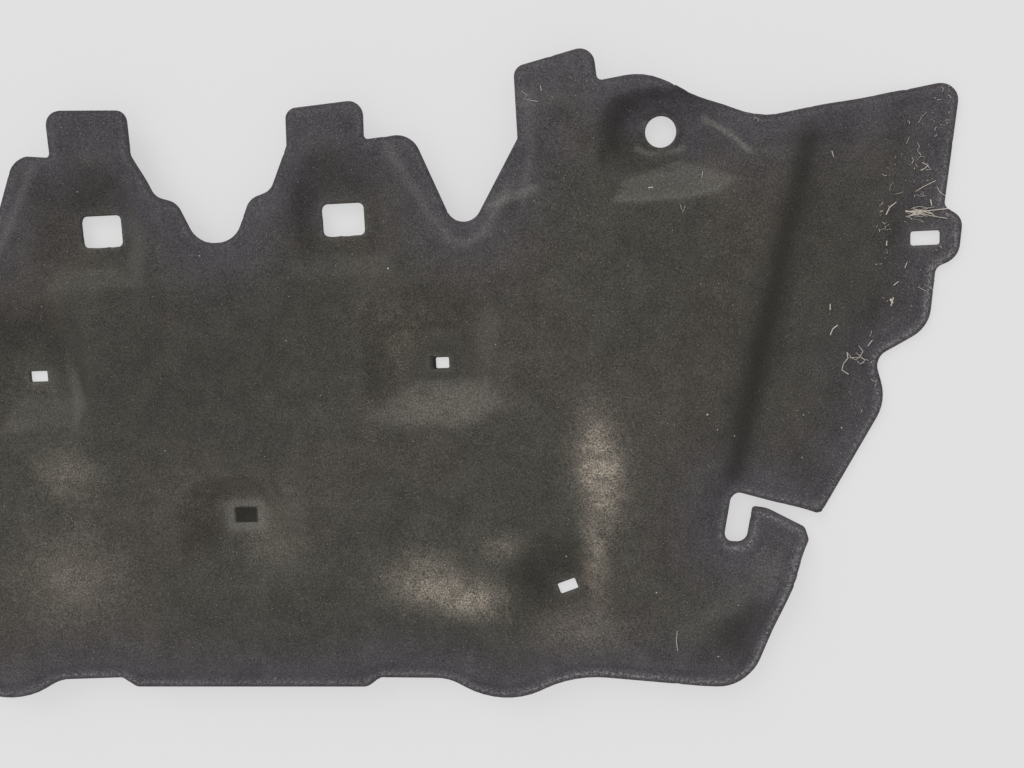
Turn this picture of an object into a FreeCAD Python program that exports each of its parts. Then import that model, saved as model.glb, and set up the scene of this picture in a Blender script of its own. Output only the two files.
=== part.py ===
import FreeCAD, Part
import math
import os
import Sketcher

# One felt pad, moulded as a stepped sheet and then die-cut, lying face up.
# X runs across the car, Y towards the tabs, Z up; the origin is the back of the centre clip seat.

SIZES = {
    # Moulded sheet: thicknesses and the heights of its levels above the rest plane
    "body_thickness": 8,
    "rim_thickness": 4,
    "rim_width": 12,
    "main_back": 20,
    "wing_back": 4,
    "end_thickness": 5,
    "seat_thickness": 4,
    "seat_margin": 5,
    "tab_seat_back": 6,
    "round_seat_back": 6,
    "blank_reach": 700,
    "blank_rise": 430,
    "blank_drop": 230,
    # Distance from the centre clip seat to the floor of the middle valley
    "valley_height": 246,
    # Clip openings
    "tab_hole_width": 38,
    "tab_hole_height": 29,
    "tab_hole_radius": 5.5,
    "tab_hole_right": 41,
    "tab_hole_down": 63,
    "slot_width": 18,
    "slot_height": 11,
    "slot_radius": 2,
    "slot_left": 28,
    "slot_down": 100,
    "low_slot_left": 4,
    "low_slot_up": 74,
    "low_slot_turn": 20,
    "round_hole_radius": 13.5,
    "round_hole_right": 14,
    "round_hole_down": 46,
    "end_slot_width": 25,
    "end_slot_height": 13,
    "end_slot_radius": 3,
    "end_slot_left": 29,
    "end_slot_down": 15,
    "centre_slot_width": 19,
    "centre_slot_height": 13,
    "centre_slot_radius": 3,
    "centre_slot_depth": 2.5,
}

# Corners of the right half of the die-cut edge, clockwise from the centreline:
# name, step right and step up from the corner before, corner radius
EDGE = [
    ("valley_floor", 17, None, 24),
    ("bump_corner", 16, 36, 15),
    ("bump_foot", 19, 6, 15),
    ("inner_tab_root", 17, 37, 7),
    ("inner_tab_left", 1, 30, 9),
    ("inner_tab_right", 66, 4, 12),
    ("shoulder_root", -1, -33, 4),
    ("shoulder", 41, 3, 20),
    ("notch_floor", 39, -95, 16),
    ("outer_tab_root", 51, 86, 5),
    ("outer_tab_left", -1, 57, 9),
    ("outer_tab_right", 64, 14, 12),
    ("brow_root", 3, -29, 5),
    ("brow", 38, 5, 53),
    ("dip", 91, -42, 67),
    ("tip", 164, 25, 14),
    ("ear_top_root", -12, -101, 7),
    ("ear_top", 15, -10, 13),
    ("ear_bottom", -3, -32, 16),
    ("ear_bottom_root", -18, -7, 9),
    ("lobe_one", -5, -50, 28),
    ("waist", -44, -24, 14),
    ("lobe_two", 10, -37, 40),
    ("slit_corner", -54, -96, 10),
    ("hook_top", -77, 23, 8),
    ("hook_left", -8, -47, 9),
    ("hook_right", 21, -1, 9),
    ("tongue_root", 6, 32, 3),
    ("tongue_bend", 12, -2, 22),
    ("tongue_top", 31, -17, 6),
    ("tongue_side", 3, -10, 4),
    ("lower_corner", -54, -130, 37),
    ("skirt_start", -151, 14, 105),
    ("hump", -65, -31, 72),
    ("skirt_notch_right", -48, 27, 40),
    ("skirt_notch_left", -62, 2, 7),
    ("skirt_flat", -13, -9, 9),
]

# Pressed clip recesses, each placed from its opening:
# name, then right, up, width, height and corner radius of the mouth and of the seat
RECESSES = [
    ("tab_recess", (7.5, 2.5, 95, 113, 34), (-3, -1, 54, 46, 12)),
    ("slot_recess", (-3.5, 8.5, 119, 123, 40), (-8, 6, 60, 46, 14)),
    ("centre_recess", (None, -12, 110, 106, 40), (None, -1, 56, 34, 12)),
    ("low_recess", (-9.5, 7, 90, 96, 36), (-1, -3, 44, 34, 12)),
    ("round_recess", (4, -13, 112, 94, 38), (1, -4, 73, 61, 26)),
]

# Corners of the two drops at the end of the pad, upper and lower lines of each wall:
# name, the edge corner it is placed from, then right, up and radius of the crest and of the foot
WING_DROP = [
    ("wing_high", "dip", (61, 55, 10), (99, 55, 10)),
    ("wing_bend", "dip", (18, -75, 60), (55, -80, 60)),
    ("wing_low", "hook_top", (-45, -51, 26), (-7, -41, 22)),
    ("wing_heel", "hook_top", (-25, -88, 14), (9, -56, 10)),
]
END_DROP = [
    ("end_high", "ear_top", (-53, 160, 10), (-36, 160, 10)),
    ("end_bend", "ear_top", (-67, -14, 60), (-51, -14, 60)),
    ("end_waist", "ear_top", (-82, -71, 60), (-60, -67, 60)),
    ("end_low", "slit_corner", (-46, 3, 5), (-11, 5, 5)),
]

# Expression for the centreline, for the centre clip and for the rest plane
MIDDLE = "0"


def name_sizes(doc):
    """Put every driving dimension in the spreadsheet under its own alias."""
    sheet = doc.addObject("Spreadsheet::Sheet", "sizes")
    rows = dict(SIZES)
    for name, right, up, radius in EDGE:
        rows[name + "_right"] = right
        if up is not None:
            rows[name + "_up"] = up
        rows[name + "_radius"] = radius
    for name, mouth, seat in RECESSES:
        for level, values in (("mouth", mouth), ("seat", seat)):
            for word, value in zip(("right", "up", "width", "height", "radius"), values):
                if value is not None:
                    rows["_".join((name, level, word))] = value
    for name, anchor, crest, foot in WING_DROP + END_DROP:
        for level, values in (("crest", crest), ("foot", foot)):
            for word, value in zip(("right", "up", "radius"), values):
                rows["_".join((name, level, word))] = value
    for row, (alias, value) in enumerate(rows.items(), start=1):
        sheet.set("A%d" % row, alias.replace("_", " "))
        sheet.set("B%d" % row, str(value))
        sheet.setAlias("B%d" % row, alias)
    doc.recompute()
    return sheet


def cell(*words):
    """Expression that reads one cell of the spreadsheet."""
    return "sizes." + "_".join(words)


def edge_places():
    """Expressions for the place of every corner of the edge, each built on the one before."""
    places = {}
    across = []
    along = [cell("valley_height")]
    for name, right, up, radius in EDGE:
        across.append(cell(name, "right"))
        if up is not None:
            along.append(cell(name, "up"))
        places[name] = (" + ".join(across), " + ".join(along))
    return places


def new_sketch(body, name, height, across="", along="", turn=""):
    """Sketch on the body's own ground plane, lifted and shifted by expressions."""
    sketch = body.newObject("Sketcher::SketchObject", name)
    ground = [plane for plane in body.Origin.OriginFeatures if plane.Role == "XY_Plane"][0]
    sketch.AttachmentSupport = [(ground, "")]
    sketch.MapMode = "FlatFace"
    for path, text in (("Base.x", across), ("Base.y", along), ("Base.z", height), ("Rotation.Angle", turn)):
        if text:
            sketch.setExpression("AttachmentOffset." + path, text)
    return sketch


def bind(sketch, sizes):
    """Add dimensions and tie each to its expression; sizes are (constraint, name, expression)."""
    added = sketch.addConstraint([constraint for constraint, name, text in sizes])
    for index, (constraint, name, text) in zip(added, sizes):
        sketch.renameConstraint(index, name)
        sketch.setExpression("Constraints." + name, text)


def rounded_loop(sketch, label, corners):
    """Closed run of lines and tangent arcs; corners are (across, along, radius) expressions, or empty."""
    values = []
    for corner in corners:
        across, along, radius = [float(sketch.evalExpression(text)) if text else 0.0 for text in corner]
        values.append((FreeCAD.Vector(across, along), radius))
    ends = []
    for index, (place, radius) in enumerate(values):
        back = (values[index - 1][0] - place).normalize()
        ahead = (values[(index + 1) % len(values)][0] - place).normalize()
        half = back.getAngle(ahead) / 2
        reach = radius / math.tan(half)
        middle = place + (back + ahead).normalize() * (radius / math.sin(half)) if radius else place
        ends.append((place + back * reach, place + ahead * reach, middle, back.cross(ahead).z < 0))
    count = len(values)
    first = sketch.GeometryCount
    shapes = [Part.LineSegment(ends[i][1], ends[(i + 1) % count][0]) for i in range(count)]
    rules = []
    sizes = []
    for index, (start, finish, middle, left_turn) in enumerate(ends):
        line_in = first + (index - 1) % count
        line_out = first + index
        across, along, radius = corners[index]
        place, radius_value = values[index]
        name = "%s_%d_" % (label, index)
        mark = (line_out, 1)
        if radius:
            angles = [math.atan2(*reversed((end - middle)[:2])) for end in (start, finish)]
            joins = (1, 2)
            if not left_turn:
                angles.reverse()
                joins = (2, 1)
            circle = Part.Circle(middle, FreeCAD.Vector(0, 0, 1), radius_value)
            arc = first + len(shapes)
            shapes.append(Part.ArcOfCircle(circle, *angles))
            shapes.append(Part.Point(place))
            mark = (arc + 1, 1)
            rules.append(Sketcher.Constraint("Tangent", line_in, 2, arc, joins[0]))
            rules.append(Sketcher.Constraint("Tangent", arc, joins[1], line_out, 1))
            rules.append(Sketcher.Constraint("PointOnObject", *mark, line_in))
            rules.append(Sketcher.Constraint("PointOnObject", *mark, line_out))
            sizes.append((Sketcher.Constraint("Radius", arc, radius_value), name + "radius", radius))
        else:
            rules.append(Sketcher.Constraint("Coincident", line_in, 2, line_out, 1))
        if across:
            sizes.append((Sketcher.Constraint("DistanceX", -1, 1, *mark, place.x), name + "across", across))
        else:
            rules.append(Sketcher.Constraint("PointOnObject", *mark, -2))
        sizes.append((Sketcher.Constraint("DistanceY", -1, 1, *mark, place.y), name + "along", along))
    sketch.addGeometry(shapes, False)
    for index, shape in enumerate(shapes, start=first):
        if isinstance(shape, Part.Point):
            sketch.setConstruction(index, True)
    sketch.addConstraint(rules)
    bind(sketch, sizes)


def rounded_rectangle(sketch, label, width, height, radius):
    """Rectangle about the sketch's own origin."""
    signs = ((-1, 1), (1, 1), (1, -1), (-1, -1))
    corners = [("%d * (%s) / 2" % (x, width), "%d * (%s) / 2" % (y, height), radius) for x, y in signs]
    rounded_loop(sketch, label, corners)


def add_pad(body, name, sketch, length):
    pad = body.newObject("PartDesign::Pad", name)
    pad.Profile = sketch
    pad.setExpression("Length", length)
    return pad


def cut_down(body, name, sketch, length=""):
    """Cut downwards from the sketch: right through, or to the length given."""
    pocket = body.newObject("PartDesign::Pocket", name)
    pocket.Profile = sketch
    if length:
        pocket.Type = "Length"
        pocket.setExpression("Length", length)
    else:
        pocket.Type = "ThroughAll"
    return pocket


def add_loft(body, kind, name, first, last):
    loft = body.newObject("PartDesign::" + kind, name)
    loft.Profile = first
    loft.Sections = [last]
    loft.Ruled = True
    return loft


def recess_sketches(body, name, centre, seat_back, main_top):
    """Sections of one clip recess: its boss on the back and its dish from above."""
    seat_top = seat_back + " + " + cell("seat_thickness")
    margin = cell("seat_margin")
    sections = (
        ("boss", "mouth", cell("main_back"), ""),
        ("boss", "seat", seat_back, margin),
        ("dish", "mouth", main_top, ""),
        ("dish", "seat", seat_top, ""),
    )
    sketches = []
    for side, level, height, grow in sections:
        across = "" if centre[0] == MIDDLE else centre[0] + " + " + cell(name, level, "right")
        along = centre[1] + " + " + cell(name, level, "up")
        width, depth, radius = [cell(name, level, word) for word in ("width", "height", "radius")]
        if grow:
            width, depth, radius = width + " + 2 * " + grow, depth + " + 2 * " + grow, radius + " + " + grow
        sketch = new_sketch(body, "_".join((name, side, level)), height, across, along)
        rounded_rectangle(sketch, level, width, depth, radius)
        sketches.append(sketch)
    return sketches


def drop_loop(body, name, corners, level, places, height):
    """Outline of a dropped end at one height, open to the far side of the blank."""
    loop = []
    for corner, anchor, crest, foot in corners:
        across = places[anchor][0] + " + " + cell(corner, level, "right")
        along = places[anchor][1] + " + " + cell(corner, level, "up")
        loop.append((across, along, cell(corner, level, "radius")))
    far = cell("blank_reach")
    loop.insert(0, (far, loop[0][1], ""))
    loop.append((far, loop[-1][1], ""))
    sketch = new_sketch(body, name, height)
    rounded_loop(sketch, level, loop)
    return sketch


def check(doc):
    """Stop on any object that failed to compute or has a bad shape."""
    for item in doc.Objects:
        if "Invalid" in item.State or "Error" in item.State:
            raise RuntimeError("%s did not compute: %s" % (item.Name, item.State))
        if item.isDerivedFrom("Sketcher::SketchObject") and not item.FullyConstrained:
            raise RuntimeError("%s is not fully constrained" % item.Name)
        shape = getattr(item, "Shape", None)
        if shape is not None and not shape.isNull() and not shape.isValid():
            raise RuntimeError("%s has a bad shape" % item.Name)


doc = FreeCAD.newDocument("hood_insulation_pad")
sheet = name_sizes(doc)
places = edge_places()
body = doc.addObject("PartDesign::Body", "insulation_pad")
doc.recompute()

main_top = cell("main_back") + " + " + cell("body_thickness")
rim_top = cell("main_back") + " + " + cell("rim_thickness")
wing_top = cell("wing_back") + " + " + cell("body_thickness")
reach = cell("blank_reach")
rise = cell("blank_rise")
drop = cell("blank_drop")

# Felt blank, wider than the pad
blank_sketch = new_sketch(body, "blank_sketch", cell("main_back"))
blank_corners = [("", rise, ""), (reach, rise, ""), (reach, "-" + drop, ""), ("", "-" + drop, "")]
rounded_loop(blank_sketch, "blank", blank_corners)
doc.recompute()
add_pad(body, "blank", blank_sketch, cell("body_thickness"))
doc.recompute()

# Openings that the recesses are placed from
centres = {
    "tab_recess": (
        places["inner_tab_root"][0] + " + " + cell("tab_hole_right"),
        places["inner_tab_root"][1] + " - " + cell("tab_hole_down"),
    ),
    "slot_recess": (
        places["notch_floor"][0] + " - " + cell("slot_left"),
        places["notch_floor"][1] + " - " + cell("slot_down"),
    ),
    "centre_recess": (MIDDLE, MIDDLE),
    "low_recess": (
        places["skirt_start"][0] + " - " + cell("low_slot_left"),
        places["skirt_start"][1] + " + " + cell("low_slot_up"),
    ),
    "round_recess": (
        places["brow"][0] + " + " + cell("round_hole_right"),
        places["brow"][1] + " - " + cell("round_hole_down"),
    ),
    "end_slot": (
        places["ear_top"][0] + " - " + cell("end_slot_left"),
        places["ear_top"][1] + " - " + cell("end_slot_down"),
    ),
}
seat_backs = {"tab_recess": cell("tab_seat_back"), "round_recess": cell("round_seat_back")}

# Bosses on the back, then the dishes and drops pressed from above
dishes = []
for name, mouth, seat in RECESSES:
    boss_mouth, boss_seat, mouth_sketch, seat_sketch = recess_sketches(
        body, name, centres[name], seat_backs.get(name, MIDDLE), main_top
    )
    doc.recompute()
    add_loft(body, "AdditiveLoft", name + "_boss", boss_mouth, boss_seat)
    dishes.append((name, mouth_sketch, seat_sketch))
levels = (
    ("wing", WING_DROP, cell("main_back"), cell("wing_back"), main_top, wing_top),
    ("end", END_DROP, cell("wing_back"), "0", wing_top, cell("end_thickness")),
)
for name, corners, back_high, back_low, top_high, top_low in levels:
    high = drop_loop(body, name + "_back_crest", corners, "crest", places, back_high)
    low = drop_loop(body, name + "_back_foot", corners, "foot", places, back_low)
    doc.recompute()
    add_loft(body, "AdditiveLoft", name + "_back", high, low)
    doc.recompute()
    high = drop_loop(body, name + "_face_crest", corners, "crest", places, top_high)
    low = drop_loop(body, name + "_face_foot", corners, "foot", places, top_low)
    dishes.append((name, high, low))
    doc.recompute()
for name, high, low in dishes:
    add_loft(body, "SubtractiveLoft", name + "_dish", high, low)
    doc.recompute()

# Compressed tabs and rim
thinning = cell("body_thickness") + " - " + cell("rim_thickness")
margin = cell("rim_width")
flats = new_sketch(body, "tab_flats", main_top)
inner_flat = (
    places["inner_tab_left"][0] + " - " + margin,
    places["inner_tab_right"][0] + " + " + margin,
    places["inner_tab_root"][1],
    places["inner_tab_right"][1] + " + " + margin,
)
outer_flat = (
    places["outer_tab_left"][0] + " - " + margin,
    places["brow_root"][0],
    places["brow_root"][1] + " - " + margin,
    places["outer_tab_right"][1] + " + " + margin,
)
for label, (left, right, bottom, top) in (("inner", inner_flat), ("outer", outer_flat)):
    rounded_loop(flats, label, [(left, top, ""), (right, top, ""), (right, bottom, ""), (left, bottom, "")])
doc.recompute()
cut_down(body, "tab_press", flats, thinning)
doc.recompute()

# Die-cut edge: everything outside it goes, and the rim beside it is pressed thin
edge_sketch = new_sketch(body, "edge_sketch", main_top)
edge_loop = [("", cell("valley_height"), "")]
for name, right, up, radius in EDGE:
    edge_loop.append((*places[name], cell(name, "radius")))
edge_loop.append(("", places["skirt_flat"][1], ""))
past = reach + " + " + margin
edge_loop.append(("", "-" + drop + " - " + margin, ""))
edge_loop.append((past, "-" + drop + " - " + margin, ""))
edge_loop.append((past, rise + " + " + margin, ""))
edge_loop.append(("", rise + " + " + margin, ""))
rounded_loop(edge_sketch, "edge", edge_loop)
doc.recompute()
rim_line = body.newObject("PartDesign::SubShapeBinder", "rim_line")
rim_line.Support = [(edge_sketch, "")]
rim_line.setExpression("Offset", margin)
doc.recompute()
cut_down(body, "rim_press", rim_line, thinning)
doc.recompute()
cut_down(body, "edge_cut", edge_sketch)
doc.recompute()

# Openings
for name, words, centre, turn in (
    ("tab_hole", "tab_hole", "tab_recess", ""),
    ("slot", "slot", "slot_recess", ""),
    ("low_slot", "slot", "low_recess", cell("low_slot_turn")),
    ("end_slot", "end_slot", "end_slot", ""),
):
    sketch = new_sketch(body, name + "_sketch", main_top, *centres[centre], turn)
    rounded_rectangle(sketch, name, cell(words, "width"), cell(words, "height"), cell(words, "radius"))
    doc.recompute()
    cut_down(body, name, sketch)
    doc.recompute()
round_sketch = new_sketch(body, "round_hole_sketch", main_top, *centres["round_recess"])
round_radius = float(sheet.round_hole_radius)
round_shape = Part.Circle(FreeCAD.Vector(), FreeCAD.Vector(0, 0, 1), round_radius)
circle = round_sketch.addGeometry(round_shape, False)
round_sketch.addConstraint(Sketcher.Constraint("Coincident", circle, 3, -1, 1))
bind(round_sketch, [(Sketcher.Constraint("Radius", circle, round_radius), "radius", cell("round_hole_radius"))])
doc.recompute()
cut_down(body, "round_hole", round_sketch)
doc.recompute()
centre_sketch = new_sketch(body, "centre_slot_sketch", cell("seat_thickness"))
rounded_rectangle(
    centre_sketch, "centre_slot", cell("centre_slot_width"), cell("centre_slot_height"), cell("centre_slot_radius")
)
doc.recompute()
cut_down(body, "centre_slot", centre_sketch, cell("centre_slot_depth"))
doc.recompute()

# The left half mirrors the right
half_sketch = new_sketch(body, "left_side", main_top)
far_left = "-(" + past + ")"
half_loop = [(far_left, rise, ""), ("", rise, ""), ("", "-" + drop, ""), (far_left, "-" + drop, "")]
rounded_loop(half_sketch, "left", half_loop)
doc.recompute()
cut_down(body, "half", half_sketch)
doc.recompute()
mirrored = body.newObject("PartDesign::Mirrored", "left_half")
mirrored.TransformMode = "Whole shape"
mirrored.MirrorPlane = ([plane for plane in body.Origin.OriginFeatures if plane.Role == "YZ_Plane"][0], [""])
body.Tip = mirrored
doc.recompute()

check(doc)
os.makedirs("parts", exist_ok=True)
body.Shape.exportStep("parts/%s.step" % body.Label)
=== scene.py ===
"""Hood insulation pad: moulded felt dressed over the CAD frame, with its lint, floor, light and camera."""
import math
import random

import bmesh
import bpy
from mathutils import Matrix, Vector, kdtree
from mathutils.bvhtree import BVHTree


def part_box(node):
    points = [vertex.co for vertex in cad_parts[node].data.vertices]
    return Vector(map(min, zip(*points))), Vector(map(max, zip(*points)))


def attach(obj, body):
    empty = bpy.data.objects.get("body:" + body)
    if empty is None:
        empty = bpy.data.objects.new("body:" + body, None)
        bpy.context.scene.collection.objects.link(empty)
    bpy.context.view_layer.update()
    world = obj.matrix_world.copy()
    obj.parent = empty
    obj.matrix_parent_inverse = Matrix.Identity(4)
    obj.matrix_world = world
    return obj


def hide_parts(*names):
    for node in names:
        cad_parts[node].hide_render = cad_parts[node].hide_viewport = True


bl_info = {
    "name": "Hood Insulation Pad",
    "version": (1, 0, 0),
    "blender": (4, 5, 0),
    "location": "View3D > Sidebar > Hood Pad",
    "description": "Builds a moulded felt hood pad over its CAD frame",
    "category": "Object",
}

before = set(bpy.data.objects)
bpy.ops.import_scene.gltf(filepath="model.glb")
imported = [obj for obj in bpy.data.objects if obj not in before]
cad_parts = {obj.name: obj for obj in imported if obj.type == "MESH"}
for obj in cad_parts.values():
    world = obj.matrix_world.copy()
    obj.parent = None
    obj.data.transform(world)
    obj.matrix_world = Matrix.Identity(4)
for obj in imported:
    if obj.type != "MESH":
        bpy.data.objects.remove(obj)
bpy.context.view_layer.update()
PAD_NODE = "insulation_pad"
MM = 0.001
DOWN = Vector((0, 0, -1))

# Points nearer than this are joined, in millimetres: on the solid, on the flat sheet, on the cut grid
SOLID_WELD = 0.001
SHEET_WELD = 0.01
GRID_WELD = 0.5

# A face whose normal points up or down by less than this is a side wall
WALL_LEAN = 0.02

# Places around a spot where a ray looks for the felt, in millimetres
PROBES = ((0, 0), (0.3, 0.2), (-0.3, 0.2), (0.2, -0.3), (-0.6, -0.5), (0.6, 0.5))

# How far a spot moves from its point towards the middle of the faces around it, as a share
PROBE_INWARD = 0.25

# A point this far off the points around it is a stray one, in millimetres
STRAY_HEIGHT = 2.5

# Recesses with a finer mesh, in millimetres: middle across and along, half width, half height
FINE_AREAS = ((392, 308, 78, 52), (186, 134, 72, 60), (0, 0, 44, 40))

# Felt that hangs into one clip slot and is darkened as painted shadow inside the slot, in millimetres:
# slot end across, slot middle along, half height, overhang
SLOT_CURL = (178, 134, 5.2, 5)

# Points from this far before the slot end to this far past it hang in, in millimetres
SLOT_END = (-0.1, 1.5)

# Blind slot: how near its sides a point counts as on them, in millimetres, and how dark its painted shade is
SLOT_EDGE = 0.1
SLOT_PAINTED_SHADE = 0.85

# Middles of the clip openings on the right half, in millimetres
OPENINGS = ((110, 262), (187, 134), (293, -71), (384, 321), (599, 224))

# An edge this near the middle of an opening belongs to the opening, in millimetres
OPENING_REACH = 26

# Soft swellings in the felt face, in millimetres:
# place across, place along, half width, half height, turn in degrees, rise
SWELLS = (
    (325, 40, 20, 46, 4, 2.6),
    (190, -62, 46, 24, -3, 2.4),
    (-153, 46, 26, 26, 0, 1.4),
    (-158, -52, 38, 32, 0, 1.4),
    (281, 308, 5, 46, 8, 1.6),
    (258, 271, 14, 4, 12, 1.2),
    (128, 326, 9, 3, -3, 1.0),
)

# Darker stains and painted shade on recess walls and by the step to the right wing, in millimetres: place
# across, place along, half width, half height, turn in degrees, strength
STAINS_AND_SHADE = (
    (262, -58, 20, 26, 0, 0.30),
    (268, -112, 70, 14, 0, 0.18),
    (415, 170, 60, 90, 10, 0.16),
    (90, 180, 70, 40, 0, 0.14),
    (-40, 136, 100, 80, 0, 0.26),
    (110, 300, 40, 26, 0, 0.12),
    (-110, 300, 40, 26, 0, 0.12),
    (190, 180, 56, 24, 0, 0.17),
    (60, -100, 120, 30, 0, 0.12),
    (560, 170, 34, 90, 0, 0.18),
    (520, 190, 26, 100, 0, 0.14),
    (430, -110, 40, 30, 0, 0.10),
)

# How far the left inner tab is drawn out, in millimetres:
# where the draw starts, its left side, its right side, its foot, its root, draw left and draw up
TAB_DRAW = (-176, -136, -70, 300, 326, 8, 7)

# How far past its right side the tab is still drawn, in millimetres, and the share of the draw there
TAB_MARGIN = 12
TAB_HOLD = 0.25

# Straight folds, in millimetres:
# one end, the other end, how far the felt falls past the line, and over what width
FOLDS = (
    ((402, -112), (466, -68), 6.0, 34),
    ((150, -93), (240, -93), 2.0, 12),
)

# Dusty patches and painted sheen on swellings and walls that face the light, in millimetres: place across,
# place along, half width, half height, turn in degrees, strength
DUST_AND_SHEEN = (
    (325, 40, 17, 40, 4, 1.0),
    (318, -45, 10, 36, 0, 0.6),
    (204, -72, 34, 17, -6, 0.75),
    (164, -54, 30, 20, 10, 0.5),
    (240, -28, 20, 12, 0, 0.3),
    (-153, 46, 26, 24, 0, 0.32),
    (-158, -52, 42, 36, 0, 0.28),
    (190, 100, 46, 16, 0, 0.2),
    (168, 176, 48, 22, 0, 0.18),
    (148, 146, 18, 34, 0, 0.16),
    (22, 14, 34, 20, 20, 0.22),
    (-34, 20, 26, 28, 30, 0.12),
    (-190, 128, 26, 18, 0, 0.15),
    (30, -26, 34, 22, 0, 0.16),
    (300, -105, 40, 16, 0, 0.26),
)

# Painted light on recess walls that face the light, in millimetres: corners clockwise, softness of the sides,
# strength
PAINTED_LIGHT_FACES = (
    (((167, 118), (233, 119), (245, 96), (214, 81), (152, 84), (128, 91)), 10, 0.2),
    (((218, 165), (237, 183), (243, 164), (229, 110)), 12, 0.16),
    (((262, 388), (330, 390), (332, 348), (264, 342)), 12, 0.07),
    (((75, 234), (148, 230), (159, 212), (59, 216)), 7, 0.1),
    (((-148, 231), (-90, 228), (-67, 213), (-155, 210)), 7, 0.15),
    (((-84, 282), (-57, 259), (-67, 213), (-86, 232)), 8, 0.14),
    (((-158, 152), (-132, 108), (-142, 89), (-158, 127)), 6, 0.24),
    (((-208, 115), (-146, 113), (-144, 88), (-216, 85)), 8, 0.15),
    (((351, 282), (399, 296), (418, 290), (446, 277), (428, 269), (391, 265), (343, 265)), 6, 0.28),
    (((338, 312), (356, 300), (366, 284), (340, 280)), 10, 0.12),
)

# Painted highlights along crests, lips and folds, in millimetres: points along the line, half width, strength
PAINTED_HIGHLIGHT_LINES = (
    (((419, 330), (432, 320), (444, 308), (452, 300)), 2.0, 0.6),
    (((452, 300), (470, 298), (493, 296)), 3, 0.14),
    (((428, 269), (391, 265), (345, 265)), 2.6, 0.2),
    (((364, 308), (374, 304), (389, 304), (402, 307)), 2.2, 0.45),
    (((240, 267), (266, 274), (279, 279)), 3.5, 0.35),
    (((276, 354), (277, 310), (269, 270)), 4, 0.18),
    (((398, -104), (471, -51)), 10, 0.16),
    (((-14, 10), (14, 10), (14, -10), (-14, -10), (-14, 10)), 6, 0.5),
    (
        ((156, 318), (173, 291), (191, 259), (205, 240), (219, 236), (232, 243), (245, 262), (256, 281)),
        4,
        0.26,
    ),
    (((-156, 318), (-173, 291), (-191, 259), (-205, 240), (-219, 236), (-232, 243), (-245, 262)), 4, 0.22),
)

# Painted shade on the step to the right wing, a fold and the round recess, in millimetres: points along the
# line, half width, strength
PAINTED_SHADE_LINES = (
    (((500, 308), (477, 207), (459, 125), (440, 34)), 12, 0.66),
    (((432, -108), (452, -90), (440, -120)), 15, 0.4),
    (((352, 345), (346, 318), (352, 296)), 12, 0.3),
    (
        ((367, 321), (372, 309), (384, 304), (396, 309), (401, 321), (396, 333), (384, 338), (372, 333)),
        2.6,
        0.5,
    ),
)

# Where the cut edge is frayed and pale and its rim lines with painted light and shade show, in millimetres,
# the same on both sides:
# place across, place along, half width, half height, turn in degrees, strength
FRAYED = (
    (600, 150, 80, 120, 0, 1.0),
    (470, -80, 80, 90, 0, 1.0),
    (320, -150, 90, 40, 0, 0.8),
    (120, -150, 160, 40, 0, 0.35),
)

# How frayed the cut edge is everywhere else, and how pale the edges of the openings are
FRAY_LEAST = 0.2
HOLE_PALE = 0.2

# Cool, thin felt: thickness where it starts and loss over which it grows, in millimetres, and most strength
THIN_FELT = 6.5
THIN_SPAN = 3
THIN_MOST = 0.7

# Where the cool colour of thin felt dies out: step in shares of the band's width, steps from the cut
THIN_FADE = 0.6
THIN_END = 2.4

# Strength of the cooler band along the cut
BAND_STRENGTH = 0.75

# Pale and dark lines of the rim, fraying together with painted light and shade of its pressed step: share of
# the rim's width in from the cut, paleness
RIM_FRAY_AND_LIGHT_LINES = ((0.0, 0.25), (0.05, 0.12), (0.13, 1.0), (0.21, 0.35), (0.36, 0.0), (0.56, 0.12), (0.80, 0.0))

# Loose fibres, in millimetres: points across and along the pad
FIBRES = (
    ((270, 358), (275, 354), (273, 351), (284, 348)),
    ((286, 361), (287, 357)),
    ((458, 326), (461, 324), (460, 322)),
    ((520, 297), (522, 292)),
    ((397, 259), (399, 253), (401, 258)),
    ((417, 286), (416, 281)),
    ((372, 275), (376, 275)),
    ((595, 285), (599, 283), (602, 279), (598, 279)),
    ((602, 255), (603, 250)),
    ((582, 247), (590, 245), (602, 242), (615, 239)),
    ((588, 249), (594, 244), (600, 246), (606, 241)),
    ((586, 243), (596, 246), (604, 243)),
    ((590, 262), (597, 266), (606, 270)),
    ((582, 246), (600, 246), (616, 247)),
    ((591, 301), (593, 298), (591, 295), (594, 291)),
    ((594, 279), (597, 280), (600, 283)),
    ((607, 265), (609, 261), (614, 257)),
    ((582, 200), (584, 205)),
    ((573, 186), (577, 189)),
    ((571, 169), (572, 172), (573, 176)),
    ((565, 244), (568, 250), (574, 254)),
    ((566, 223), (566, 219)),
    ((520, 173), (520, 168)),
    ((520, 147), (522, 152), (526, 155)),
    ((536, 113), (530, 117), (531, 122), (535, 127), (534, 132)),
    ((534, 132), (538, 127), (542, 125), (546, 128), (548, 132), (544, 137)),
    ((543, 124), (546, 121), (550, 124), (546, 128), (542, 131)),
    ((552, 136), (556, 141)),
    ((555, 108), (560, 105)),
    ((387, -103), (386, -112), (387, -121)),
)

# Where short stray fibres gather, in millimetres: place across, spread, from and to along the pad
STRAY_ZONES = (
    (592, 14, 180, 330),
    (560, 14, 60, 180),
    (563, 4, 200, 252),
    (612, 6, 305, 345),
    (588, 10, 236, 300),
)

# Fibre radius as a share of the set one: placed fibres, strays, and the change from point to point
PLACED_RADII = (0.7, 1.5)
STRAY_RADII = (0.3, 0.7)
POINT_RADII = (0.7, 1.2)

# Height of a fibre's middle over the felt, in set radii
FIBRE_GAP = 1.5

# A fibre whose points differ in height by more than this is left out, in millimetres
FIBRE_DROP = 9

LINT_SEED = 11

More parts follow.
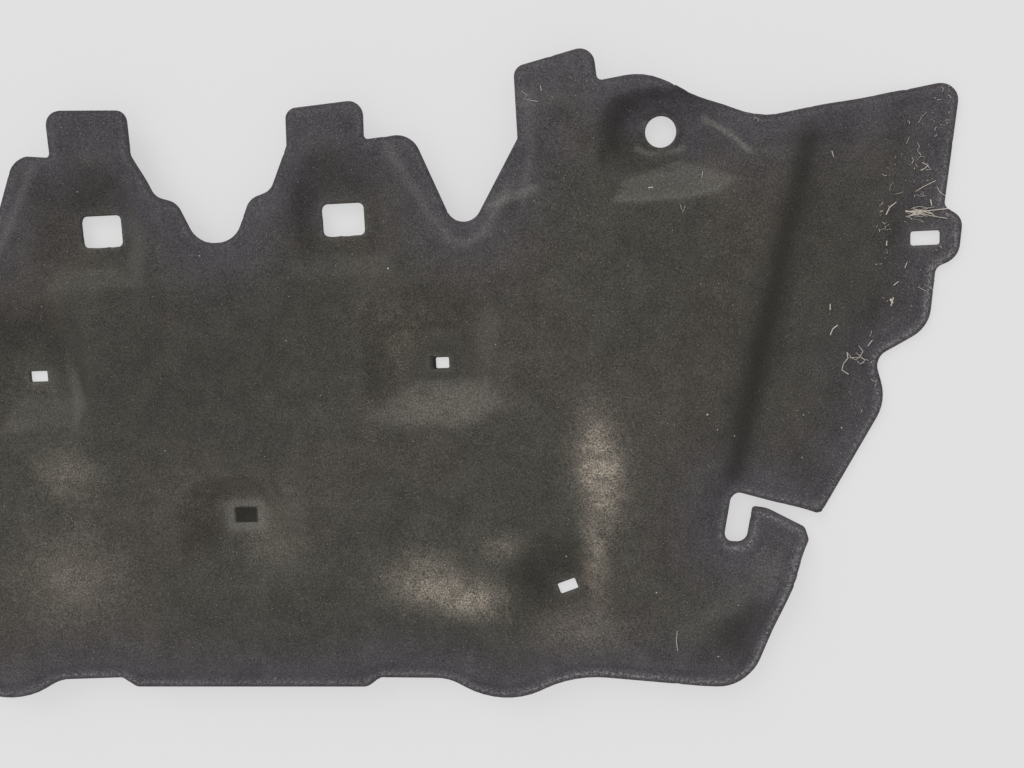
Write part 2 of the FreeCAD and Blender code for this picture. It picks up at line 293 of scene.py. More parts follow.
# Lint specks, in millimetres: place across, place along, radius
SPECKS = (
    (416, 85, 0.9), (424, 72, 0.6), (439, 65, 0.6), (498, 80, 0.6), (497, 43, 0.6), (531, 67, 0.7),
    (293, -40, 0.7), (370, -69, 0.7), (422, -128, 0.6), (151, 218, 1.0), (-14, 236, 0.7), (-125, 297, 0.6),
    (24, -148, 0.6), (571, 174, 1.3), (572, 172, 1.2), (-60, 66, 0.5), (58, 160, 0.5), (240, 150, 0.5),
)

# Noises in the felt: scale, detail, roughness
MOTTLE = (6, 4, 0.6)
CLOUDS = (38, 6, 0.65)
DRIFTS = (70, 5, 0.7)
SCUFFS = (420, 4, 0.8)
GRAIN = (760, 3, 0.75)
THREADS = (900, 1)

# How the noises are stretched: from low, from high, to low, to high
CLOUD_TONES = (0.3, 0.7, 0.8, 1.2)
DRIFT_SHARES = (0.35, 0.62, 0.45, 1.3)
DUST_AND_SHEEN_SHARES = (0.36, 0.66, 0.3, 1.2)
LIGHT_AND_RUB_SHARES = (0.3, 0.65, 0.6, 1.2)
FRAY_SHARES = (0.44, 0.60, 0.0, 1.0)
GRAIN_TONES = (0.3, 0.7, 0.4, 1.6)
THREAD_SHARES = (0.68, 0.80, 0.0, 0.8)

# Colour of the darker stains and painted shade, as a share of the olive
STAIN_AND_SHADE_TONE = 0.4

# Floor and camera: size in metres, sensor in millimetres, nearest visible distance in metres
FLOOR_SIZE = 6
SENSOR_WIDTH = 36
CLIP_START = 0.01


class HoodPadFelt(bpy.types.PropertyGroup):
    grid: bpy.props.FloatProperty(
        name="Grid", description="Spacing of the felt's mesh", default=4 * MM, unit="LENGTH"
    )
    softening: bpy.props.IntProperty(
        name="Softening", description="Smoothing passes over the pressed levels", default=4
    )
    edge_round: bpy.props.FloatProperty(
        name="Edge round", description="How far the cut edge bulges", default=0.7 * MM, unit="LENGTH"
    )
    edge_line: bpy.props.FloatProperty(
        name="Edge line",
        description="Width of the pale worn line around the openings",
        default=3 * MM,
        unit="LENGTH",
    )
    rim_reach: bpy.props.FloatProperty(
        name="Rim reach", description="Width of the lined rim along the cut", default=30 * MM, unit="LENGTH"
    )
    band_reach: bpy.props.FloatProperty(
        name="Band reach",
        description="Width of the cooler felt along the cut",
        default=42 * MM,
        unit="LENGTH",
    )
    slot_width: bpy.props.FloatProperty(
        name="Blind slot width", description="Middle clip slot, across", default=19 * MM, unit="LENGTH"
    )
    slot_height: bpy.props.FloatProperty(
        name="Blind slot height", description="Middle clip slot, along", default=13 * MM, unit="LENGTH"
    )
    slot_depth: bpy.props.FloatProperty(
        name="Blind slot depth",
        description="How far the blind slot sinks below its pocket",
        default=0.4 * MM,
        unit="LENGTH",
    )
    brown: bpy.props.FloatVectorProperty(
        name="Brown", description="Warm felt colour", default=(0.063, 0.057, 0.050), subtype="COLOR"
    )
    olive: bpy.props.FloatVectorProperty(
        name="Olive", description="Greenish felt colour", default=(0.056, 0.054, 0.046), subtype="COLOR"
    )
    pressed: bpy.props.FloatVectorProperty(
        name="Pressed",
        description="Cool colour of thin, pressed felt",
        default=(0.066, 0.061, 0.073),
        subtype="COLOR",
    )
    # The rim colour also carries the rim's painted light lines
    rim: bpy.props.FloatVectorProperty(
        name="Rim", description="Frayed edge colour", default=(0.240, 0.226, 0.228), subtype="COLOR"
    )
    # The pale colour is mostly painted light on recess walls, crests and folds, and partly paler felt at the
    # openings' edges
    pale: bpy.props.FloatVectorProperty(
        name="Pale",
        description="Colour of rubbed, paler felt",
        default=(0.190, 0.182, 0.165),
        subtype="COLOR",
    )
    # The dust colour is also painted sheen on swellings, and the tone of pale threads
    dust_and_sheen: bpy.props.FloatVectorProperty(
        name="Dust", description="Colour of dusty patches", default=(0.330, 0.285, 0.235), subtype="COLOR"
    )


class HoodPadLint(bpy.types.PropertyGroup):
    thickness: bpy.props.FloatProperty(
        name="Thickness", description="Fibre radius", default=0.32 * MM, unit="LENGTH"
    )
    strays: bpy.props.IntProperty(name="Strays", description="Short fibres along the worn end", default=110)
    tuft: bpy.props.IntProperty(name="Tuft", description="Fibres in the tuft beside the end slot", default=20)
    flecks: bpy.props.IntProperty(name="Flecks", description="Tiny specks all over the face", default=220)
    colour: bpy.props.FloatVectorProperty(
        name="Colour", description="Pale lint colour", default=(0.56, 0.50, 0.43), subtype="COLOR"
    )


class HoodPadStage(bpy.types.PropertyGroup):
    floor: bpy.props.FloatVectorProperty(
        name="Floor", description="Pale floor colour", default=(0.745, 0.745, 0.745), subtype="COLOR"
    )
    glow: bpy.props.FloatProperty(
        name="Floor glow", description="Share of the floor that shows its plain colour", default=0.75
    )
    fill: bpy.props.FloatProperty(name="Fill", description="Even light from all round", default=0.82)
    key: bpy.props.FloatProperty(name="Key", description="Soft light from the upper left", default=1.2)
    key_spread: bpy.props.FloatProperty(
        name="Key spread",
        description="Size of the key light in the sky",
        default=math.radians(40),
        subtype="ANGLE",
    )
    key_tilt: bpy.props.FloatProperty(
        name="Key tilt",
        description="Key light's angle from overhead",
        default=math.radians(56),
        subtype="ANGLE",
    )
    key_turn: bpy.props.FloatProperty(
        name="Key turn",
        description="Key light's turn about the vertical",
        default=math.radians(58),
        subtype="ANGLE",
    )
    camera_place: bpy.props.FloatVectorProperty(
        name="Camera place",
        description="Where the camera stands",
        default=(0.3250, 0.2044, 0.7853),
        subtype="XYZ",
    )
    camera_turn: bpy.props.FloatVectorProperty(
        name="Camera turn",
        description="How the camera is turned",
        default=[math.radians(angle) for angle in (-6.8506, 5.1669, -2.4326)],
        subtype="EULER",
    )
    lens: bpy.props.FloatProperty(name="Lens", description="Focal length in millimetres", default=31.64)


def cad_copy(node):
    """Merged copy of a CAD node's mesh."""
    bm = bmesh.new()
    bm.from_mesh(node.data)
    bmesh.ops.remove_doubles(bm, verts=bm.verts, dist=SOLID_WELD * MM)
    bm.normal_update()
    return bm


def flat_blank(bm):
    """Leave only the back of the pad, laid flat: one sheet with the die-cut edge and openings."""
    not_back = [face for face in bm.faces if face.normal.z > -WALL_LEAN]
    bmesh.ops.delete(bm, geom=not_back, context="FACES")
    bmesh.ops.scale(bm, vec=(1, 1, 0), verts=bm.verts)
    bmesh.ops.remove_doubles(bm, verts=bm.verts, dist=SHEET_WELD * MM)
    bmesh.ops.dissolve_limit(bm, angle_limit=math.radians(1), verts=bm.verts, edges=bm.edges)


def slice_faces(bm, faces, axis, cuts):
    """Cut the faces by planes across one axis, halving the run of planes each time."""
    if not cuts or not faces:
        return
    middle = len(cuts) // 2
    normal = Vector((0, 0, 0))
    normal[axis] = 1
    parts = set(faces)
    for face in faces:
        parts.update(face.edges)
        parts.update(face.verts)
    made = bmesh.ops.bisect_plane(
        bm, geom=list(parts), dist=0.0001 * MM, plane_co=normal * cuts[middle], plane_no=normal
    )
    halves = ([], [])
    for part in made["geom"]:
        if isinstance(part, bmesh.types.BMFace):
            halves[part.calc_center_median()[axis] > cuts[middle]].append(part)
    slice_faces(bm, halves[0], axis, cuts[:middle])
    slice_faces(bm, halves[1], axis, cuts[middle + 1:])


def even_cuts(low, high, step, extra):
    """Evenly spaced plane places between two limits, with the extra ones in order."""
    count = int((high - low) / step)
    cuts = [low + step * (index + 0.5) for index in range(count)]
    cuts = [cut for cut in cuts if all(abs(cut - line) > step / 3 for line in extra)]
    return sorted(cuts + list(extra))


def keep_sheet(bm):
    """Drop the slivers that hang on to no other face of the sheet."""
    waiting = set(bm.faces)
    islands = []
    while waiting:
        island = [waiting.pop()]
        for face in island:
            for edge in face.edges:
                for other in edge.link_faces:
                    if other in waiting:
                        waiting.discard(other)
                        island.append(other)
        islands.append(island)
    sheet = max(islands, key=len)
    slivers = [face for island in islands if island is not sheet for face in island]
    bmesh.ops.delete(bm, geom=slivers, context="FACES")


def refine_areas(bm):
    """Halve the grid over the recesses that show fine lines."""
    for across, along, half_width, half_height in FINE_AREAS:
        edges = []
        for edge in bm.edges:
            inside = [
                abs(vert.co.x / MM - across) < half_width and abs(vert.co.y / MM - along) < half_height
                for vert in edge.verts
            ]
            if all(inside):
                edges.append(edge)
        bmesh.ops.subdivide_edges(bm, edges=edges, cuts=1, use_grid_fill=True)


def meshed_blank(bm, felt):
    """The flat blank cut into a fine grid, with lines along the blind slot."""
    flat_blank(bm)
    low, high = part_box(PAD_NODE)
    halves = (felt.slot_width / 2, felt.slot_height / 2)
    for axis in (0, 1):
        cuts = even_cuts(low[axis], high[axis], felt.grid, (-halves[axis], halves[axis]))
        slice_faces(bm, list(bm.faces), axis, cuts)
    bmesh.ops.remove_doubles(bm, verts=bm.verts, dist=GRID_WELD * MM)
    keep_sheet(bm)
    refine_areas(bm)
    loose = [vert for vert in bm.verts if not vert.link_faces]
    bmesh.ops.delete(bm, geom=loose, context="VERTS")


def face_height(tree, spot, side):
    """Height of a face at a spot, seen from above (side 1) or below (side -1)."""
    for across, along in PROBES:
        eye = Vector((spot.x + across * MM, spot.y + along * MM, side))
        hit, normal = tree.ray_cast(eye, DOWN * side)[:2]
        if hit is not None and normal.z * side > WALL_LEAN:
            return hit.z
    return None


def pressed_heights(bm, tree, side, passes):
    """Height of the CAD face over every point of the sheet, softened."""
    for vert in bm.verts:
        centre = sum((face.calc_center_median() for face in vert.link_faces), Vector()) / len(vert.link_faces)
        spot = vert.co.lerp(centre, PROBE_INWARD)
        height = face_height(tree, spot, side)
        if height is None:
            height = tree.find_nearest(Vector((spot.x, spot.y, side)))[0].z
        vert.co.z = height
    for vert in bm.verts:
        around = sorted(edge.other_vert(vert).co.z for edge in vert.link_edges)
        usual = (around[(len(around) - 1) // 2] + around[len(around) // 2]) / 2
        if abs(vert.co.z - usual) > STRAY_HEIGHT * MM:
            vert.co.z = usual
    for step in range(passes):
        bmesh.ops.smooth_vert(bm, verts=bm.verts, factor=0.5, use_axis_z=True)
    return [vert.co.z for vert in bm.verts]


def patch(place, across, along, half_width, half_height, turn):
    """How deep a place lies in a soft oval patch: 1 in the middle, falling to 0."""
    offset = Vector((place.x / MM - across, place.y / MM - along))
    angle = math.radians(turn)
    u = (offset.x * math.cos(angle) + offset.y * math.sin(angle)) / half_width
    w = (offset.y * math.cos(angle) - offset.x * math.sin(angle)) / half_height
    return math.exp(-u * u - w * w)


def fold_fall(place, start, end, fall, width):
    """How far the felt falls past a straight fold, on the right of its run."""
    run = Vector(end) - Vector(start)
    offset = Vector((place.x / MM, place.y / MM)) - Vector(start)
    along = offset.dot(run) / run.length_squared
    past = (offset.x * run.y - offset.y * run.x) / run.length
    near_ends = max(0.0, min(1.0, 1.5 - abs(along - 0.5) * 2))
    step = max(0.0, min(1.0, past / width))
    return fall * step * step * (3 - 2 * step) * near_ends


def face_swell(place):
    """How far the felt face swells up at a place, in metres."""
    return MM * sum(row[5] * patch(place, *row[:5]) for row in SWELLS)


def sheet_fall(place):
    """How far the folds let both faces of the felt down at a place, in metres."""
    return MM * sum(fold_fall(place, *row) for row in FOLDS)


def point_tree(places):
    """Nearest-point search over flat places."""
    tree = kdtree.KDTree(len(places))
    for index, place in enumerate(places):
        tree.insert(place, index)
    tree.balance()
    return tree


def soft_step(value):
    """Smooth rise from 0 to 1."""
    value = max(0.0, min(1.0, value))
    return value * value * (3 - 2 * value)


def in_face(place, corners, softness):
    """How far inside a face with straight sides a place lies: 0 outside to 1."""
    inside = 1.0
    for index, corner in enumerate(corners):
        start = Vector(corners[index - 1])
        run = Vector(corner) - start
        offset = Vector((place.x / MM, place.y / MM)) - start
        past = (offset.x * run.y - offset.y * run.x) / run.length
        inside = min(inside, soft_step(past / softness + 0.5))
    return inside


def near_line(place, points, half_width):
    """How near a place is to a line: 1 on it, falling to 0."""
    spot = Vector((place.x / MM, place.y / MM))
    nearest = math.inf
    for start, end in zip(points, points[1:]):
        run = Vector(end) - Vector(start)
        share = max(0.0, min(1.0, (spot - Vector(start)).dot(run) / run.length_squared))
        nearest = min(nearest, (spot - Vector(start) - run * share).length)
    return math.exp(-((nearest / half_width) ** 2))


def draw_tab(bm):
    """Draw out the left inner tab a little."""
    start, left, right, foot, root, draw_left, draw_up = TAB_DRAW
    for vert in bm.verts:
        across, along = vert.co.x / MM, vert.co.y / MM
        if start < across < right + TAB_MARGIN and along > foot:
            side = soft_step((across - start) / (left - start)) * (
                TAB_HOLD + (1 - TAB_HOLD) * soft_step((right - across) / (right - left))
            )
            vert.co.x -= draw_left * MM * side * soft_step((along - foot) / (root - foot))
            vert.co.y += draw_up * MM * soft_step((along - root) / (root - foot))


def press_blind_slot(top, felt, stain_and_painted_shade):
    """Push the middle clip slot into its seat and darken it with painted shade."""
    for vert in top:
        inset = min(felt.slot_width / 2 - abs(vert.co.x), felt.slot_height / 2 - abs(vert.co.y))
        if inset > -SLOT_EDGE * MM:
            vert[stain_and_painted_shade] = SLOT_PAINTED_SHADE
        if inset > SLOT_EDGE * MM:
            vert.co.z -= felt.slot_depth


def curl_slot(bm):
    """Let the felt at one end of a clip slot hang into it, darkened as painted shadow."""
    stain_and_painted_shade = bm.verts.layers.float["stain_and_painted_shade"]
    across, along, half_height, overhang = SLOT_CURL
    for vert in bm.verts:
        past = vert.co.x / MM - across
        if SLOT_END[0] < past < SLOT_END[1] and abs(vert.co.y / MM - along) < half_height:
            vert.co.x += overhang * MM
            vert[stain_and_painted_shade] = 1.0


def paint_wear_light_and_shade(bm, rim, felt):
    """Paint frayed edges, the pressed band, dust with painted sheen, painted light, and stains with painted
    shade as point values.
    """
    for name in ("reach", "frayed", "dusty_and_lit", "pale"):
        bm.verts.layers.float.new(name)
    edge_reach, frayed, dusty_and_lit, pale, pressed, stain_and_painted_shade = [
        bm.verts.layers.float[name] for name in ("reach", "frayed", "dusty_and_lit", "pale", "pressed", "stain_and_painted_shade")
    ]
    middles = [Vector((side * across * MM, along * MM, 0)) for across, along in OPENINGS for side in (1, -1)]
    openings = point_tree(middles)
    near_opening = [openings.find(place)[2] < OPENING_REACH * MM for place in rim]
    outer = point_tree([place for place, near in zip(rim, near_opening) if not near])
    inner = point_tree([place for place, near in zip(rim, near_opening) if near])
    for vert in bm.verts:
        flat = Vector((vert.co.x, vert.co.y, 0))
        reach = outer.find(flat)[2]
        hole_reach = inner.find(flat)[2]
        folded = Vector((abs(flat.x), flat.y, 0))
        vert[edge_reach] = reach / felt.rim_reach
        vert[frayed] = min(1.0, FRAY_LEAST + sum(row[5] * patch(folded, *row[:5]) for row in FRAYED))
        # Dust, and painted sheen on swellings
        vert[dusty_and_lit] = min(1.0, sum(row[5] * patch(flat, *row[:5]) for row in DUST_AND_SHEEN))
        thin = vert[pressed] * soft_step(THIN_END - reach / (felt.band_reach * THIN_FADE))
        vert[pressed] = max(thin, BAND_STRENGTH * math.exp(-((reach / felt.band_reach) ** 2)))
        # Painted light on recess walls, crests and folds
        light = sum(row[2] * in_face(flat, *row[:2]) for row in PAINTED_LIGHT_FACES)
        light += sum(row[2] * near_line(flat, *row[:2]) for row in PAINTED_HIGHLIGHT_LINES)
        vert[pale] = min(1.0, light + HOLE_PALE * math.exp(-((hole_reach / felt.edge_line) ** 2)))
        # Painted shade on steps and creases, and darker stains that are partly painted shade
        dark = sum(row[2] * near_line(flat, *row[:2]) for row in PAINTED_SHADE_LINES)
        dark += sum(row[5] * patch(flat, *row[:5]) for row in STAINS_AND_SHADE)
        vert[stain_and_painted_shade] = max(vert[stain_and_painted_shade], min(1.0, dark))


def new_material(name):
    material = bpy.data.materials.new(name)
    material.use_nodes = True
    nodes = material.node_tree.nodes
    return material, nodes, material.node_tree.links, nodes["Principled BSDF"]


def noise_node(nodes, links, place, scale, detail, roughness=0.5):
    """Noise on the pad's own coordinates."""
    grain = nodes.new("ShaderNodeTexNoise")
    grain.inputs["Scale"].default_value = scale
    grain.inputs["Detail"].default_value = detail
    grain.inputs["Roughness"].default_value = roughness
    links.new(place.outputs["Object"], grain.inputs["Vector"])
    return grain.outputs["Fac"]


def spread_node(nodes, links, value, low, high, to_low, to_high):
    """Stretch a value from one range to another."""
    spread = nodes.new("ShaderNodeMapRange")
    spread.inputs["From Min"].default_value = low
    spread.inputs["From Max"].default_value = high
    spread.inputs["To Min"].default_value = to_low
    spread.inputs["To Max"].default_value = to_high
    links.new(value, spread.inputs["Value"])
    return spread.outputs["Result"]


def mix_node(nodes, links, factor, base, other, blend="MIX"):
    """Mix two colours; the factor may be a number and the second a fixed colour."""
    mix = nodes.new("ShaderNodeMix")
    mix.data_type = "RGBA"
    mix.blend_type = blend
    if isinstance(factor, (int, float)):
        mix.inputs["Factor"].default_value = factor
    else:
        links.new(factor, mix.inputs["Factor"])
    links.new(base, mix.inputs["A"])
    if isinstance(other, bpy.types.NodeSocket):
        links.new(other, mix.inputs["B"])
    else:
        mix.inputs["B"].default_value = (*other, 1)
    return mix.outputs["Result"]


def math_node(nodes, links, operation, first, second):
    """Join two values, kept between 0 and 1."""
    joined = nodes.new("ShaderNodeMath")
    joined.operation = operation
    joined.use_clamp = True
    links.new(first, joined.inputs[0])
    links.new(second, joined.inputs[1])
    return joined.outputs["Value"]


def painted_node(nodes, name):
    painted = nodes.new("ShaderNodeAttribute")
    painted.attribute_name = name
    return painted.outputs["Fac"]


def felt_material(felt):
    """Needled felt: brown and olive mottling, fibre grain, dusty patches with painted sheen, painted light on
    walls and crests, painted shade in stains and creases, paler worn edges with painted rim lines.
    """
    material, nodes, links, shader = new_material("needled_felt")
    place = nodes.new("ShaderNodeTexCoord")
    tones = nodes.new("ShaderNodeValToRGB")
    tones.color_ramp.elements[0].position = 0.40
    tones.color_ramp.elements[0].color = (*felt.brown, 1)
    tones.color_ramp.elements[1].position = 0.60
    tones.color_ramp.elements[1].color = (*felt.olive, 1)
    links.new(noise_node(nodes, links, place, *MOTTLE), tones.inputs["Fac"])
    colour = mix_node(nodes, links, painted_node(nodes, "pressed"), tones.outputs["Color"], felt.pressed)
    clouds = spread_node(nodes, links, noise_node(nodes, links, place, *CLOUDS), *CLOUD_TONES)
    colour = mix_node(nodes, links, 1, colour, clouds, "MULTIPLY")
    scuffs = noise_node(nodes, links, place, *SCUFFS)
    grain = noise_node(nodes, links, place, *GRAIN)
    drifts = spread_node(nodes, links, noise_node(nodes, links, place, *DRIFTS), *DRIFT_SHARES)
    # Dust patches, partly painted sheen
    patchy = math_node(nodes, links, "MULTIPLY", painted_node(nodes, "dusty_and_lit"), drifts)
    dust_and_sheen = math_node(nodes, links, "MULTIPLY", patchy, spread_node(nodes, links, grain, *DUST_AND_SHEEN_SHARES))
    colour = mix_node(nodes, links, dust_and_sheen, colour, felt.dust_and_sheen)
    # Painted light on walls and crests, and paler edges of the openings
    light_and_rubs = spread_node(nodes, links, scuffs, *LIGHT_AND_RUB_SHARES)
    lit_and_rubbed = math_node(nodes, links, "MULTIPLY", painted_node(nodes, "pale"), light_and_rubs)
    colour = mix_node(nodes, links, lit_and_rubbed, colour, felt.pale)
    # Rim lines: fraying, and painted light and shade of the pressed step
    lines = nodes.new("ShaderNodeValToRGB")
    for position, _ in RIM_FRAY_AND_LIGHT_LINES[1:-1]:
        lines.color_ramp.elements.new(position)
    for element, (position, tone) in zip(lines.color_ramp.elements, RIM_FRAY_AND_LIGHT_LINES):
        element.position = position
        element.color = (tone, tone, tone, 1)
    links.new(painted_node(nodes, "reach"), lines.inputs["Fac"])
    frays = spread_node(nodes, links, scuffs, *FRAY_SHARES)
    fray = math_node(nodes, links, "MULTIPLY", painted_node(nodes, "frayed"), frays)
    worn = math_node(nodes, links, "MULTIPLY", lines.outputs["Color"], fray)
    colour = mix_node(nodes, links, worn, colour, felt.rim)
    colour = mix_node(nodes, links, 1, colour, spread_node(nodes, links, grain, *GRAIN_TONES), "MULTIPLY")
    threads = spread_node(nodes, links, noise_node(nodes, links, place, *THREADS), *THREAD_SHARES)
    colour = mix_node(nodes, links, threads, colour, felt.dust_and_sheen)
    # Darker stains and painted shade
    stain_and_shade_tone = [tone * STAIN_AND_SHADE_TONE for tone in felt.olive]
    colour = mix_node(nodes, links, painted_node(nodes, "stain_and_painted_shade"), colour, stain_and_shade_tone)
    links.new(colour, shader.inputs["Base Color"])
    bump = nodes.new("ShaderNodeBump")
    bump.inputs["Strength"].default_value = 0.5
    bump.inputs["Distance"].default_value = 0.7 * MM
    links.new(grain, bump.inputs["Height"])
    links.new(bump.outputs["Normal"], shader.inputs["Normal"])
    shader.inputs["Roughness"].default_value = 0.95
    shader.inputs["Specular IOR Level"].default_value = 0.15
    return material


def lint_material(lint):
    """Pale lint, a little uneven in tone."""
    material, nodes, links, shader = new_material("pale_lint")
    place = nodes.new("ShaderNodeTexCoord")
    tones = nodes.new("ShaderNodeValToRGB")
    tones.color_ramp.elements[0].color = (*[tone * 0.55 for tone in lint.colour], 1)
    tones.color_ramp.elements[1].color = (*[tone * 1.25 for tone in lint.colour], 1)
    links.new(noise_node(nodes, links, place, 90, 2), tones.inputs["Fac"])
    links.new(tones.outputs["Color"], shader.inputs["Base Color"])
    shader.inputs["Roughness"].default_value = 0.8
    return material


def floor_material(stage):
    """Pale floor that shows a plain colour to the camera and keeps a faint shadow."""
    material, nodes, links, shader = new_material("pale_floor")
    shader.inputs["Base Color"].default_value = (*stage.floor, 1)
    shader.inputs["Roughness"].default_value = 0.9
    plain = nodes.new("ShaderNodeEmission")
    plain.inputs["Color"].default_value = (*stage.floor, 1)
    path = nodes.new("ShaderNodeLightPath")
    seen = path.outputs["Is Camera Ray"]
    for ray in ("Is Glossy Ray", "Is Transmission Ray"):
        seen = math_node(nodes, links, "MAXIMUM", seen, path.outputs[ray])
    share = spread_node(nodes, links, seen, 0, 1, 0, stage.glow)
    blend = nodes.new("ShaderNodeMixShader")
    links.new(share, blend.inputs["Fac"])
    links.new(shader.outputs["BSDF"], blend.inputs[1])
    links.new(plain.outputs["Emission"], blend.inputs[2])
    links.new(blend.outputs["Shader"], nodes["Material Output"].inputs["Surface"])
    return material


def finish_piece(context, name, mesh, material):
    """Put a finished mesh in the scene, riding on the pad."""
    piece = bpy.data.objects.new(name, mesh)
    context.collection.objects.link(piece)
    mesh.materials.clear()
    mesh.materials.append(material)
    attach(piece, "root")
    return piece


def lay_on(tree, across, along, gap):
    """A place resting on the felt face, or None beside the pad."""
    height = face_height(tree, Vector((across * MM, along * MM)), 1)
    return None if height is None else Vector((across * MM, along * MM, height + gap))


def stray_runs(count, chance):
    """Short bent fibres scattered along the worn right end."""
    runs = []
    for index in range(count):
        middle, spread, low, high = STRAY_ZONES[index % len(STRAY_ZONES)]
        along = chance.uniform(low, high)
        across = chance.gauss(middle, spread)
        angle = chance.uniform(0, math.tau)
        length = 0.4 + chance.expovariate(1.1)
        bend = chance.uniform(-1.2, 1.2)
        run = [(across, along)]
        for step in range(2):
            angle += bend
            run.append((run[-1][0] + length * math.cos(angle), run[-1][1] + length * math.sin(angle)))
        runs.append(run)
    return runs


def tuft_runs(count, chance):
    """A flat brush of fibres above the end slot."""
    runs = []
    for index in range(count):
        start = (582 + chance.uniform(0, 9), 245 + chance.uniform(-4, 4))
        end = (start[0] + chance.uniform(5, 16), start[1] + chance.uniform(-4, 4))
        middle = ((start[0] + end[0]) / 2, (start[1] + end[1]) / 2 + chance.uniform(-1.5, 1.5))
        runs.append((start, middle, end))
    return runs


def fibre_mesh(tree, lint, chance):
    """Thin tubes along every fibre run that lies on the pad."""
    curve = bpy.data.curves.new("lint_runs", "CURVE")
    curve.dimensions = "3D"
    curve.bevel_depth = lint.thickness
    curve.bevel_resolution = 1
    thin_runs = stray_runs(lint.strays, chance) + tuft_runs(lint.tuft, chance)
    rows = [(run, PLACED_RADII) for run in FIBRES] + [(run, STRAY_RADII) for run in thin_runs]
    for run, radii in rows:
        places = [lay_on(tree, across, along, lint.thickness * FIBRE_GAP) for across, along in run]
        if None in places:
            continue
        heights = [place.z for place in places]
        if max(heights) - min(heights) > FIBRE_DROP * MM:
            continue
        spline = curve.splines.new("POLY")
        spline.points.add(len(places) - 1)
        thickness = chance.uniform(*radii)
        for point, place in zip(spline.points, places):
            point.co = (*place, 1)
            point.radius = thickness * chance.uniform(*POINT_RADII)
    holder = bpy.data.objects.new("lint_runs", curve)
    mesh = bpy.data.meshes.new_from_object(holder)
    bpy.data.objects.remove(holder)
    return mesh


def speck_mesh(tree, lint, chance):
    """Small round specks, the placed ones and tiny scattered ones."""
    specks = list(SPECKS)
    low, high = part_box(PAD_NODE)
    for index in range(lint.flecks):
        across = chance.uniform(low[0], high[0]) / MM
        along = chance.uniform(low[1], high[1]) / MM
        specks.append((across, along, chance.uniform(0.18, 0.42)))
    bm = bmesh.new()
    for across, along, radius in specks:
        place = lay_on(tree, across, along, radius * MM * 0.3)
        if place is not None:
            move = Matrix.Translation(place)
            bmesh.ops.create_icosphere(bm, subdivisions=1, radius=radius * MM, matrix=move)
    mesh = bpy.data.meshes.new("lint_specks")
    bm.to_mesh(mesh)
    bm.free()
    return mesh


class HOODPAD_OT_felt(bpy.types.Operator):
    """Model the moulded felt pad over the CAD solid"""

    bl_idname = "hoodpad.felt"
    bl_label = "Felt Pad"

    def execute(self, context):
        felt = context.scene.hoodpad_felt
        bm = cad_copy(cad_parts[PAD_NODE])
        tree = BVHTree.FromBMesh(bm)
        meshed_blank(bm, felt)
        face_heights = pressed_heights(bm, tree, 1, felt.softening)
        back_heights = pressed_heights(bm, tree, -1, felt.softening)
        pressed = bm.verts.layers.float.new("pressed")
        stain_and_painted_shade = bm.verts.layers.float.new("stain_and_painted_shade")
        lift = {}
        for vert, height, back in zip(bm.verts, face_heights, back_heights):
            fall = sheet_fall(vert.co)
            vert.co.z = back - fall
            lost = THIN_FELT * MM - (height - back)
            vert[pressed] = max(0.0, min(THIN_MOST, lost / (THIN_SPAN * MM)))
            lift[vert.co.x, vert.co.y] = height - fall
        made = bmesh.ops.extrude_face_region(bm, geom=bm.faces[:], use_keep_orig=True)
        top = {part for part in made["geom"] if isinstance(part, bmesh.types.BMVert)}
        for vert in top:
            vert.co.z = lift[vert.co.x, vert.co.y] + face_swell(vert.co)
        press_blind_slot(top, felt, stain_and_painted_shade)
        uprights = [edge for edge in bm.edges if (edge.verts[0] in top) != (edge.verts[1] in top)]
        rim = [Vector((vert.co.x, vert.co.y, 0)) for edge in uprights for vert in edge.verts]
        made = bmesh.ops.subdivide_edges(bm, edges=uprights, cuts=1)
        bmesh.ops.recalc_face_normals(bm, faces=bm.faces)
        bm.normal_update()
        for part in made["geom_inner"]:
            if isinstance(part, bmesh.types.BMVert):
                part.co += Vector((part.normal.x, part.normal.y, 0)).normalized() * felt.edge_round
        paint_wear_light_and_shade(bm, rim, felt)
        curl_slot(bm)
        draw_tab(bm)
        for face in bm.faces:
            face.smooth = True
        mesh = bpy.data.meshes.new("felt_pad")
        bm.to_mesh(mesh)
        bm.free()
        pad = finish_piece(context, "felt_pad", mesh, felt_material(felt))
        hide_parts(PAD_NODE)
        return {"FINISHED"}


class HOODPAD_OT_lint(bpy.types.Operator):
    """Lay loose fibres and specks of lint on the felt"""

    bl_idname = "hoodpad.lint"
    bl_label = "Lint"

    def execute(self, context):
        lint = context.scene.hoodpad_lint
        bm = bmesh.new()
        bm.from_mesh(bpy.data.objects["felt_pad"].data)
        tree = BVHTree.FromBMesh(bm)
        bm.free()
        chance = random.Random(LINT_SEED)
        material = lint_material(lint)
        finish_piece(context, "lint_fibres", fibre_mesh(tree, lint, chance), material)
        finish_piece(context, "lint_specks", speck_mesh(tree, lint, chance), material)
        return {"FINISHED"}


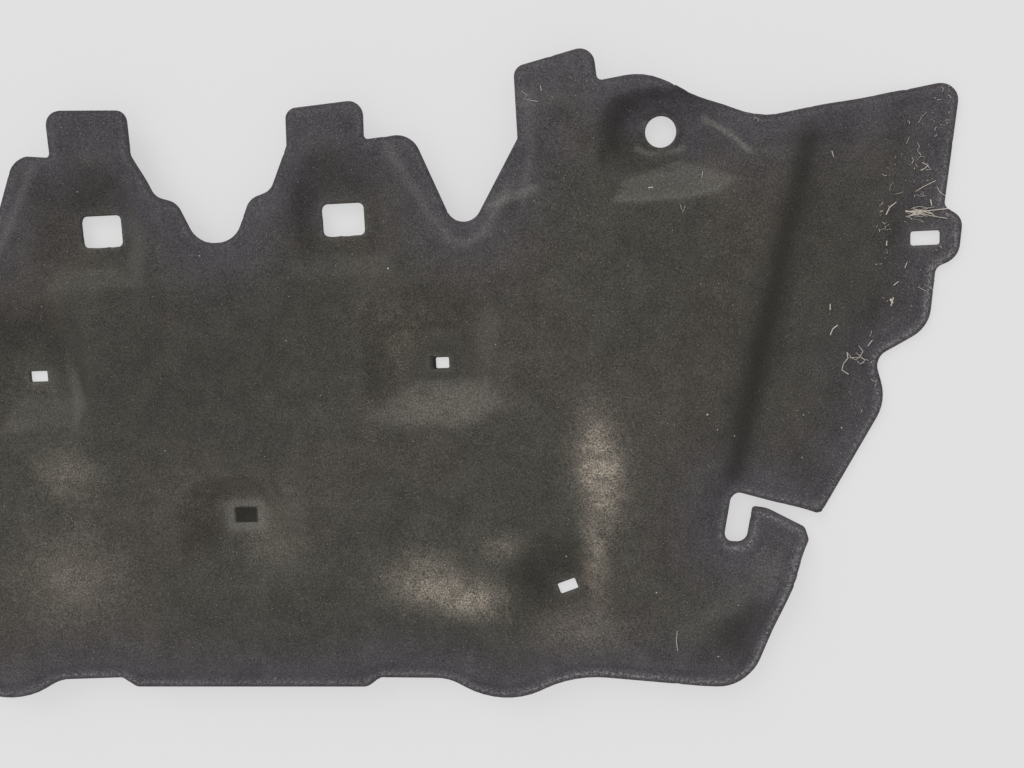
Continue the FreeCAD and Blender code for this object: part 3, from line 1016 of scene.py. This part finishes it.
class HOODPAD_OT_stage(bpy.types.Operator):
    """Set the pale floor, the soft light and the camera"""

    bl_idname = "hoodpad.stage"
    bl_label = "Stage"

    def execute(self, context):
        stage = context.scene.hoodpad_stage
        scene = context.scene
        scene.view_settings.view_transform = "Standard"
        bm = bmesh.new()
        bmesh.ops.create_grid(bm, x_segments=1, y_segments=1, size=FLOOR_SIZE)
        mesh = bpy.data.meshes.new("floor")
        bm.to_mesh(mesh)
        bm.free()
        floor = bpy.data.objects.new("floor", mesh)
        context.collection.objects.link(floor)
        mesh.materials.append(floor_material(stage))
        world = bpy.data.worlds.new("studio")
        world.use_nodes = True
        world.node_tree.nodes["Background"].inputs["Color"].default_value = (1, 1, 1, 1)
        world.node_tree.nodes["Background"].inputs["Strength"].default_value = stage.fill
        scene.world = world
        lamp = bpy.data.lights.new("key", "SUN")
        lamp.energy = stage.key
        lamp.angle = stage.key_spread
        key = bpy.data.objects.new("key", lamp)
        key.rotation_euler = (0, -stage.key_tilt, -stage.key_turn)
        context.collection.objects.link(key)
        eye = bpy.data.cameras.new("camera")
        eye.sensor_width = SENSOR_WIDTH
        eye.lens = stage.lens
        eye.clip_start = CLIP_START
        camera = bpy.data.objects.new("camera", eye)
        camera.location = stage.camera_place
        camera.rotation_euler = stage.camera_turn
        context.collection.objects.link(camera)
        scene.camera = camera
        return {"FINISHED"}


class HOODPAD_PT_panel(bpy.types.Panel):
    """Sizes, colours and build steps of the hood pad"""

    bl_idname = "HOODPAD_PT_panel"
    bl_label = "Hood Insulation Pad"
    bl_space_type = "VIEW_3D"
    bl_region_type = "UI"
    bl_category = "Hood Pad"

    def draw(self, context):
        layout = self.layout
        for settings in (context.scene.hoodpad_felt, context.scene.hoodpad_lint, context.scene.hoodpad_stage):
            box = layout.box()
            for name in settings.__annotations__:
                box.prop(settings, name)
        for step in STEPS:
            layout.operator(step.bl_idname)


STEPS = (HOODPAD_OT_felt, HOODPAD_OT_lint, HOODPAD_OT_stage)
CLASSES = (HoodPadFelt, HoodPadLint, HoodPadStage, *STEPS, HOODPAD_PT_panel)


def register():
    for item in CLASSES:
        bpy.utils.register_class(item)
    bpy.types.Scene.hoodpad_felt = bpy.props.PointerProperty(type=HoodPadFelt)
    bpy.types.Scene.hoodpad_lint = bpy.props.PointerProperty(type=HoodPadLint)
    bpy.types.Scene.hoodpad_stage = bpy.props.PointerProperty(type=HoodPadStage)


def unregister():
    del bpy.types.Scene.hoodpad_felt
    del bpy.types.Scene.hoodpad_lint
    del bpy.types.Scene.hoodpad_stage
    for item in reversed(CLASSES):
        bpy.utils.unregister_class(item)


def main():
    register()
    bpy.ops.hoodpad.felt()
    bpy.ops.hoodpad.lint()
    bpy.ops.hoodpad.stage()


if __name__ == "__main__":
    main()
